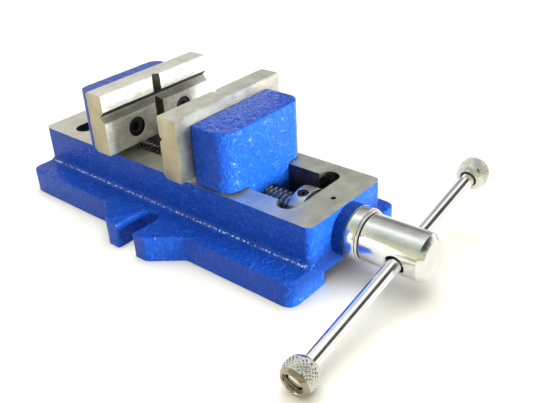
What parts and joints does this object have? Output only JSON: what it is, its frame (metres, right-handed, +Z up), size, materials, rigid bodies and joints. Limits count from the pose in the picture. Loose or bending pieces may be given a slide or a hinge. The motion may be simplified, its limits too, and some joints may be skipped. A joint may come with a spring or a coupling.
{
  "type": "machine vise",
  "caption": "Small machine vise: painted slotted base with side lugs, ground V-grooved jaw plates, lead screw and sliding tommy bar with ball ends.",
  "frame": {"origin": "on the underside, in the middle of the rear foot of the base, at the vise's middle plane", "axes": "+X along the lead screw towards the handle, +Y to the far side, +Z up from the underside"},
  "size_m": [0.1618, 0.1037, 0.0484],
  "materials": {
    "blue_enamel": "glossy hammered blue enamel on cast iron",
    "ground_steel": "surface ground, fine scratches",
    "polished_steel": "polished, bright",
    "bright_screw_steel": "machined, slightly oily",
    "black_oxide_steel": "black oxide, satin",
    "bronze": "machined bronze"
  },
  "bodies": {
    "base": {"base_casting": "blue_enamel", "fixed_jaw": "blue_enamel", "fixed_jaw_plate": "ground_steel", "fixed_plate_screw_near": "black_oxide_steel", "fixed_plate_screw_far": "black_oxide_steel", "fixed_jaw_bolt_near": "black_oxide_steel", "fixed_jaw_bolt_far": "black_oxide_steel"},
    "spindle": {"lead_screw": "polished_steel", "thrust_collar": "polished_steel", "thrust_washer": "bright_screw_steel", "retaining_ring": "bright_screw_steel", "ring_set_screw": "black_oxide_steel"},
    "handle": {"tommy_bar": "polished_steel", "handle_ball_near": "polished_steel", "handle_ball_far": "polished_steel"},
    "jaw": {"moving_jaw": "blue_enamel", "moving_jaw_plate": "ground_steel", "moving_plate_screw_near": "black_oxide_steel", "moving_plate_screw_far": "black_oxide_steel", "leadscrew_nut": "bronze", "nut_pin": "bright_screw_steel", "keeper_plate": "bright_screw_steel", "keeper_screw_near": "black_oxide_steel", "keeper_screw_far": "black_oxide_steel"}
  },
  "joints": [
    {"name": "screw_turn", "type": "hinge", "parent": "base", "child": "spindle", "pos_m": [0.1351, 0, 0.01427], "axis": [1, 0, 0], "range_deg": [-5004, 2268]},
    {"name": "jaw_slide", "type": "slide", "parent": "base", "child": "jaw", "axis": [1, 0, 0], "range_m": [-0.02781, 0.01261]},
    {"name": "bar_slide", "type": "slide", "parent": "spindle", "child": "handle", "axis": [-0.0209, 0.9861, 0.165], "range_m": [-0.0311, 0.0422]}
  ],
  "couplings": [
    {"joint": "jaw_slide", "follows": "screw_turn", "m_per_rad": 0.00031831}
  ]
}
